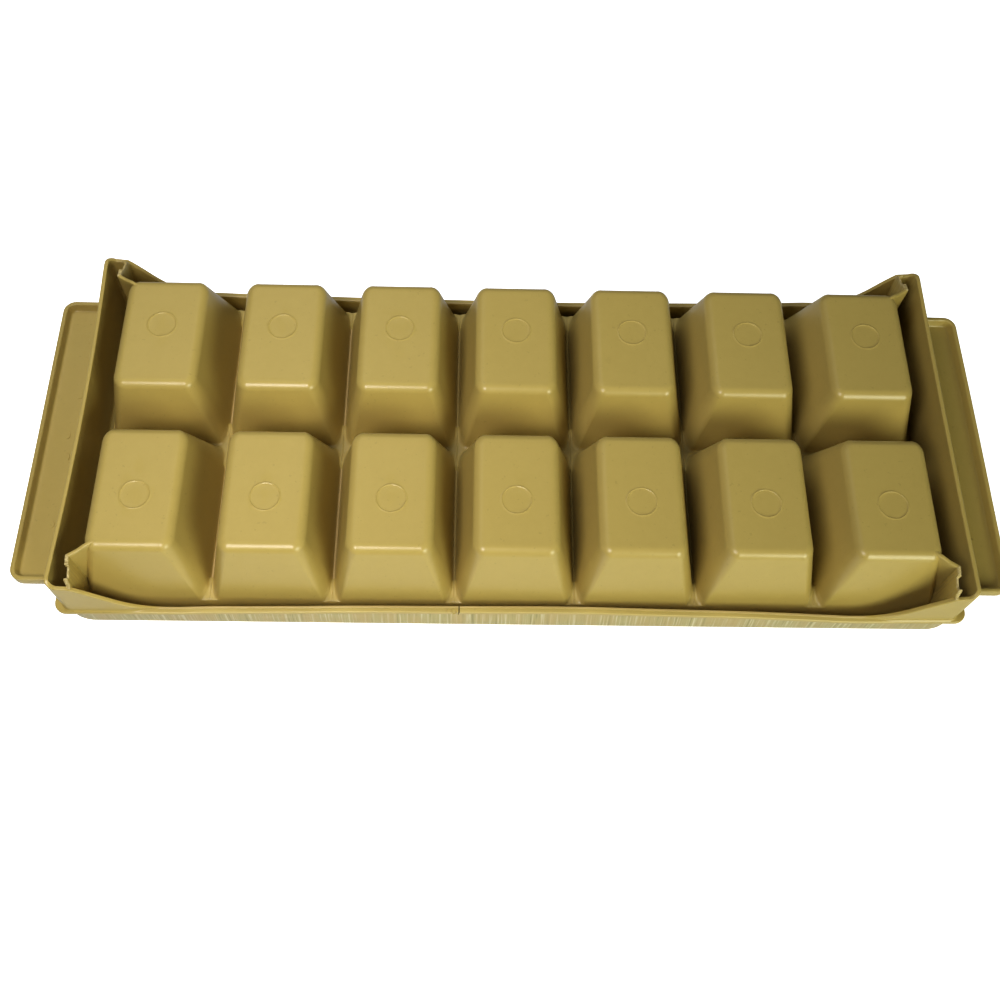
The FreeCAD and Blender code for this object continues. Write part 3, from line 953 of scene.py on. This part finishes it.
def tray_plastic():
    """Harvest gold polypropylene: a satin skin, with painted highlights on the groove ridges, the
    webs at the grooves' ends and the rim's edges, and a rim band paler from wear and from a painted
    reflection of the white floor.
    """
    shader = Shader("harvest gold plastic")
    x, y, z = place = shader.parts(shader.place)
    clouds = shader.grain(9.0, 1.0).between(0.3, 0.8)
    streaks = shader.grain(40.0, 1.0, stretch=(1.0, 0.35, 0.35)).between(0.3, 0.9)
    mottle = shader.grain(330.0, 5.0, 0.7).between(0.3, 0.7)
    smudges = shader.grain(75.0, 6.0, 0.75, shift=(3, 1, 2)).between(0.62, 0.74)
    specks = shader.grain(900.0, 1.0).between(0.71, 0.76)
    colour = shader.coats(
        linear(189, 168, 99), (clouds * 0.1, (175, 152, 84)), (streaks * 0.04, (199, 183, 118)),
        (mottle * 0.09, (164, 142, 76)), (smudges * 0.12, (140, 120, 62)),
        (specks * 0.12, (96, 76, 34)))
    colour = rim_wear_and_painted_light(shader, place, colour)
    # Painted highlight: paler lines on the fine ridges where two pockets' feet meet, on the left
    # columns only, where the upper lamp lights the grooves; and painted highlight on the webs at
    # the grooves' ends
    to_middle = shader.maths("PINGPONG", x, PITCH / 2 * MM)
    join = to_middle.between(0.01818, 0.01836) * z.between(0.0073, 0.0069)
    join = join * z.between(0.006, 0.0063) * abs(y).between(0.0462, 0.0455)
    join = join * abs(y).between(0.0066, 0.0074) * x.between(0.012, -0.05)
    # Painted highlight on the webs at the grooves' ends, which slope towards the front lamp
    groove_end_highlight = to_middle.between(0.0155, 0.0172) * z.between(0.0092, 0.0084)
    groove_end_highlight = groove_end_highlight * z.between(0.0062, 0.0064)
    outer_ends = abs(y).between(0.0478, 0.05) * abs(y).between(0.0545, 0.054)
    reach = outer_ends + abs(y).between(0.0072, 0.0058)
    # Lays on the two painted highlights: the ridge lines and the groove-end webs
    colour = shader.coats(colour, (join * 0.6, (214, 188, 142)),
                          (groove_end_highlight * reach * 0.22, (222, 206, 146)))
    rough = shader.grain(60.0, 1.0).between(0.2, 0.8) * 0.04 + 0.3
    skin = shader.bump(0.25, 0.03 * MM, shader.grain(1400.0, 2.0))
    shader.set(Base_Color=colour, Roughness=rough, Normal=skin, Specular_IOR_Level=0.6)
    return shader.material


def rim_wear_and_painted_light(shader, place, colour):
    """Upright scuffs on the rim band, which is paler from wear and from a painted reflection of the
    white floor, painted highlights along the rim's edges, and a short crack.
    """
    x, y, z = place
    facing = shader.parts(shader.node("ShaderNodeTexCoord", out=1))
    facing_out = [(facing[axis] * shader.maths("SIGN", place[axis])).between(0.2, 0.5)
                  for axis in range(2)]
    side = abs(y).between(0.0545, 0.0552) * facing_out[1]
    end = abs(x).between(0.1335, 0.1345) * facing_out[0]
    band = shader.maths("MAXIMUM", side, end) * z.between(0.0079, 0.0077)
    side_scuffs = shader.grain(1.0, 3.0, 0.65, stretch=(1000, 0, 30))
    end_scuffs = shader.grain(1.0, 3.0, 0.65, stretch=(0, 1000, 30))
    scuffs = shader.mix(side.between(0.4, 0.6), end_scuffs, side_scuffs)
    places = shader.grain(1.0, 2.0, 0.5, stretch=(140, 140, 20)).between(0.36, 0.6)
    # Paler band near the rim's foot: partly worn plastic, partly a painted reflection of the white
    # floor
    tint = shader.mix(places, linear(184, 166, 126), linear(176, 170, 132))
    colour = shader.mix(band * 0.6, colour, tint)
    light = band * scuffs.between(0.5, 0.62) * (places * 0.45 + 0.2)
    dark = band * scuffs.between(0.46, 0.36) * (places * 0.3 + 0.12)
    outer = abs(y).between(0.0543, 0.0549)
    # Painted highlight along the bead's outer top edge
    ledge_edge_highlight = outer * z.between(0.0089, 0.0091) * z.between(0.00945, 0.0093)
    # Painted highlight along the free edge's top, on faces turned up
    free_edge = outer * z.between(0.0096, 0.0097) * z.between(0.0101, 0.0098)
    crack = abs(x + 0.0167).between(0.0003, 0.00012) * z.between(0.0087, 0.0089)
    return shader.coats(
        colour, (light, (216, 209, 180)), (dark, (116, 104, 66)),
        (ledge_edge_highlight * abs(x).between(0.124, 0.112) * 0.35, (226, 208, 146)),
        (free_edge * facing[2].between(0.5, 0.8) * 0.4, (212, 188, 140)),
        (crack * y.between(-0.0549, -0.0552) * 0.85, (60, 44, 12)))


def torn_plastic():
    """The paler, rougher plastic where a gate was torn off."""
    shader = Shader("torn edge plastic")
    fibres = shader.grain(1500.0, 4.0, 0.6)
    colour = shader.mix(fibres.between(0.35, 0.65), linear(178, 158, 100), linear(206, 188, 136))
    shader.set(Base_Color=colour, Roughness=fibres.between(0.3, 0.7) * 0.2 + 0.45,
               Normal=shader.bump(0.7, 0.15 * MM, fibres))
    return shader.material


# Light, floor and camera

def add_camera():
    """Camera over the front of the tray, looking down on it."""
    data = bpy.data.cameras.new("camera")
    data.sensor_width = 36.0
    data.lens = 39.892
    data.clip_start = 0.01
    right = (0.99964, 0.00274, 0.02676)
    up = (-0.01402, 0.90194, 0.43164)
    back = (-0.02296, -0.43186, 0.90165)
    turn = Matrix((right, up, back)).transposed().to_4x4()
    camera = add_object("camera", data)
    camera.matrix_world = Matrix.Translation((-0.0125, -0.17091, 0.32571)) @ turn
    bpy.context.scene.camera = camera


def add_softbox(name, place, aim, size, power, colour, spread=180, mirrored=True):
    data = bpy.data.lights.new(name, "AREA")
    data.shape = "DISK"
    data.size = size
    data.energy = power
    data.color = colour
    data.spread = math.radians(spread)
    lamp = add_object(name, data)
    lamp.rotation_euler = (Vector(place) - Vector(aim)).to_track_quat("Z", "Y").to_euler()
    lamp.location = place
    lamp.visible_glossy = mirrored


def add_floor():
    """A white floor, low enough for the corners of the twisted tray to stay above it."""
    shader = Shader("white floor", twists=False)
    seen = shader.node("ShaderNodeLightPath")
    shader.set(Base_Color=shader.mix(shader.grain(6.0), (0.86, 0.86, 0.86, 1), (0.9, 0.9, 0.9, 1)),
               Roughness=0.9, Emission_Color=shader.mix(seen, (0, 0, 0, 1), (1, 1, 1, 1)),
               Emission_Strength=1.0)
    corners = [(6000 * x, 6000 * y, -10) for x, y in ((-1, -1), (1, -1), (1, 1), (-1, 1))]
    mesh_object("floor", corners, [(0, 1, 2, 3)], shader.material)


def add_surroundings():
    """White where the camera sees past the floor, and a weak even light on the tray."""
    world = bpy.data.worlds.new("studio")
    world.use_nodes = True
    tree = world.node_tree
    seen = add_node(tree, "ShaderNodeLightPath", None, {})[0]
    strength = add_node(tree, "ShaderNodeMapRange", None, {"s0": seen, "s3": 0.02, "s4": 1.1})[0]
    background = tree.nodes["Background"].inputs
    plug(tree, (1.0, 1.0, 1.0, 1), background["Color"])
    plug(tree, strength, background["Strength"])
    bpy.context.scene.world = world
    view = bpy.context.scene.view_settings
    view.view_transform = "Standard"
    view.gamma = 0.8


# The tray, piece by piece

SECTIONS = {"left_end": (2, 1), "columns_2_3": (3, 2), "columns_3_4": (4, 3),
            "columns_4_5": (4, 5), "columns_5_6": (5, 6), "right_end": (6, 7)}  # columns
NICKS = [(142.9, 35.9), (141.5, 15.4), (143.4, 0.4), (142.4, -7.4), (143.0, -30.9)]
NICK_Z = 11.43
FLASH = [(-19.6, -56.75, 9.5), (-18.3, -56.9, 9.47), (-17.6, -57.3, 9.2)]


def column_nodes(number):
    kinds = ("pocket_rear_%d", "pocket_front_%d", "divider_%d", "rim_rear_%d", "rim_front_%d")
    return [kind % number for kind in kinds]


def add_shell(plastic):
    mesh = whole_shell(plastic)
    points = np.zeros(len(mesh.vertices) * 3)
    mesh.vertices.foreach_get("co", points)
    points = sink_bottoms(bow_free_edges(points.reshape(-1, 3) / MM))
    faces = [tuple(polygon.vertices) for polygon in mesh.polygons]
    normals = point_normals(points, faces)
    edges = [-math.inf, *CUTS, math.inf]
    for (name, pair), low, high in zip(SECTIONS.items(), edges, edges[1:]):
        piece = section_mesh("shell_" + name, faces, points, normals, low, high, plastic)
        keep_place(piece)
        a, b = ("column_%d" % column for column in pair)
        start, end = (((column - 4) * PITCH * MM, 0, 0) for column in pair)
        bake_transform(piece)
        nodes = column_nodes(pair[0]) + column_nodes(pair[1])
        side = {"left_end": "left", "right_end": "right"}.get(name)
        if side:
            nodes += [part + side for part in ("end_rim_", "end_wall_", "leg_rear_", "leg_front_")]
        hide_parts(*nodes)


def add_end_pieces(plastic, torn):
    for side, hand, body in (("left", -1, "column_1"), ("right", 1, "column_7")):
        handle = "handle_" + side
        pieces = [(handle, handle_mesh("grip_" + side, hand, plastic))]
        for place, row in (("rear", 1), ("front", -1)):
            seed = 3.7 * hand + 1.9 * row
            web = gusset_mesh("web_%s_%s" % (place, side), hand, row, seed, plastic, torn)
            pieces.append(("gusset_%s_%s" % (place, side), web))
        nicks = [(hand * x, y, NICK_Z) for x, y in NICKS]
        pieces.append((handle, curls("grip_nicks_" + side, nicks, radius=1.5, bar=0.13, sweep=1.9,
                                     smallest=0.5, seed=4 + hand, plastic=plastic)))
        for node, piece in pieces:
            keep_place(piece)
            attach(piece, body)
            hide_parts(node)


def add_flash(plastic):
    """Thin curls of plastic left on the front rim where the mould's halves met."""
    flash = curls("rim_flash", FLASH, radius=0.9, bar=0.16, sweep=4.2, smallest=0.55, seed=3,
                  plastic=plastic)
    keep_place(flash)
    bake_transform(flash)
    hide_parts("rim_front_3")


add_camera()
add_surroundings()
add_floor()
add_softbox("upper lamp", (-0.132, -0.185, 0.31), aim=(-0.045, -0.005, 0), size=0.17, power=0.24,
            colour=(1.0, 0.98, 1.02), spread=95)
add_softbox("low front lamp", (0.335, -0.44, 0.262), aim=(0, 0, 0), size=0.36, power=2.45,
            colour=(0.94, 1.0, 0.87))
add_softbox("rear panel", (-0.15, 0.2, 0.4), aim=(-0.045, 0.01, 0), size=0.3, power=0.38,
            colour=(1.0, 1.05, 1.2), spread=110, mirrored=False)
gold = tray_plastic()
torn = torn_plastic()
add_shell(gold)
add_end_pieces(gold, torn)
add_flash(gold)
